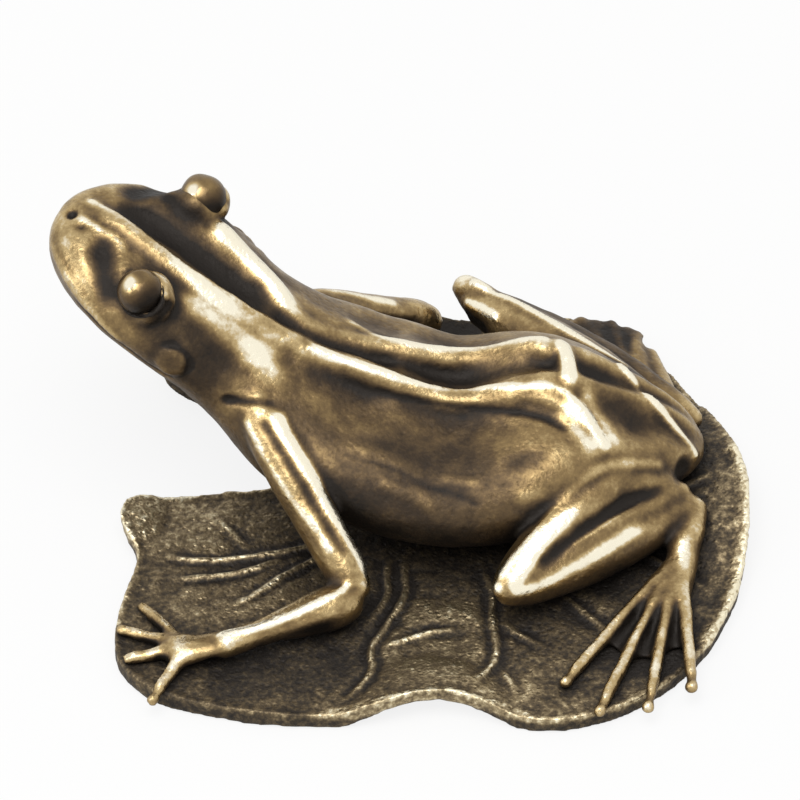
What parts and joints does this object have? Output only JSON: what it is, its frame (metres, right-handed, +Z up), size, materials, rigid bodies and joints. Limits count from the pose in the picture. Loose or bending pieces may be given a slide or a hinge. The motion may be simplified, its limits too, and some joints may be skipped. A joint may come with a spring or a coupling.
{
  "type": "frog figurine",
  "caption": "Cast brass frog crouching on a round lily pad with a waved rim and raised veins, head lifted and turned a little to its right, webbed hind feet spread.",
  "frame": {"origin": "centre of the figurine's bounding box at the table, which is the underside of the lily pad", "axes": "+X from the frog's snout towards its rump, +Y to the frog's right side, +Z up from the table"},
  "size_m": [0.0452, 0.0414, 0.0195],
  "materials": {
    "frog_brass": "cast, rubbed bright on the high spots, dark patina in the hollows",
    "pad_brass": "cast, dull brown patina with a speckled grain and a rubbed rim",
    "eye_brass": "cast, half polished"
  },
  "bodies": {
    "root": {"lily_pad": "pad_brass", "head_and_trunk": "frog_brass", "left_eye": "eye_brass", "right_eye": "eye_brass", "left_eardrum": "frog_brass", "right_eardrum": "frog_brass", "left_upper_arm": "frog_brass", "left_forearm": "frog_brass", "left_hand": "frog_brass", "right_upper_arm": "frog_brass", "right_forearm": "frog_brass", "right_hand": "frog_brass", "left_thigh": "frog_brass", "left_shank": "frog_brass", "left_hind_foot": "frog_brass", "right_thigh": "frog_brass", "right_shank": "frog_brass", "right_hind_foot": "frog_brass"}
  },
  "joints": []
}
